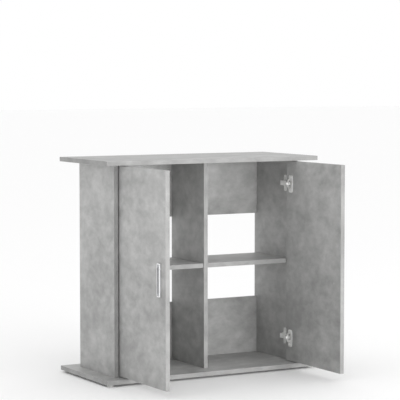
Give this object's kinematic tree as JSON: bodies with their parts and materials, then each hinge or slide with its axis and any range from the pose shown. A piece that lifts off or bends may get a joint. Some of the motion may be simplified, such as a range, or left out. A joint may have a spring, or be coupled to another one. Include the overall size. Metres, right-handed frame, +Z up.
{
  "type": "aquarium stand cabinet",
  "caption": "Concrete-look board cabinet that carries an aquarium: oversailing top and base, open-backed bays with shelves, inset hinged doors.",
  "frame": {"origin": "on the floor, under the middle of the top and base panels, on the centre foot's tread", "axes": "+X along the width, -Y out of the front through the open doors, +Z up"},
  "size_m": [0.81, 0.6295, 0.737],
  "materials": {
    "melamine_board": "concrete-look melamine foil, satin",
    "plated_steel": "nickel-plated pressed steel",
    "pin_steel": "ground pin",
    "handle_metal": "satin chrome",
    "cam_zinc": "raw zinc die casting",
    "cap_foil": "board-coloured foil",
    "foot_plastic": "moulded polyethylene",
    "beech": "fluted beech dowel"
  },
  "bodies": {
    "cabinet": {"base_panel": "melamine_board", "top_panel": "melamine_board", "left_side_panel": "melamine_board", "right_side_panel": "melamine_board", "centre_divider": "melamine_board", "lower_back_board": "melamine_board", "upper_back_board": "melamine_board", "left_shelf": "melamine_board", "right_shelf": "melamine_board", "front_left_foot": "foot_plastic", "front_right_foot": "foot_plastic", "rear_left_foot": "foot_plastic", "rear_right_foot": "foot_plastic", "centre_foot": "foot_plastic", "left_lower_hinge_arm": "plated_steel", "left_upper_hinge_arm": "plated_steel", "right_lower_hinge_arm": "plated_steel", "right_upper_hinge_arm": "plated_steel", "left_lower_hinge_plate": "plated_steel", "left_upper_hinge_plate": "plated_steel", "right_lower_hinge_plate": "plated_steel", "right_upper_hinge_plate": "plated_steel", "left_shelf_pins": "plated_steel", "right_shelf_pins": "plated_steel", "base_screws": "plated_steel", "wood_dowels": "beech", "cam_bolts": "plated_steel", "cam_discs": "cam_zinc", "cam_cover_caps": "cap_foil", "divider_screws": "plated_steel", "hinge_plate_screws": "plated_steel", "hinge_arm_screws": "plated_steel"},
    "left_door": {"left_door_panel": "melamine_board", "left_handle": "handle_metal", "left_handle_screws": "plated_steel", "left_cup_screws": "plated_steel", "left_lower_hinge_cup": "plated_steel", "left_lower_hinge_pin": "pin_steel", "left_upper_hinge_cup": "plated_steel", "left_upper_hinge_pin": "pin_steel"},
    "right_door": {"right_door_panel": "melamine_board", "right_handle": "handle_metal", "right_handle_screws": "plated_steel", "right_cup_screws": "plated_steel", "right_lower_hinge_cup": "plated_steel", "right_lower_hinge_pin": "pin_steel", "right_upper_hinge_cup": "plated_steel", "right_upper_hinge_pin": "pin_steel"}
  },
  "joints": [
    {"name": "left_door_hinge", "type": "hinge", "parent": "cabinet", "child": "left_door", "pos_m": [-0.3285, -0.1225, 0.372], "axis": [0, 0, 1], "range_deg": [-10, 90]},
    {"name": "right_door_hinge", "type": "hinge", "parent": "cabinet", "child": "right_door", "pos_m": [0.3285, -0.1225, 0.372], "axis": [0, 0, -1], "range_deg": [-10, 90]}
  ]
}
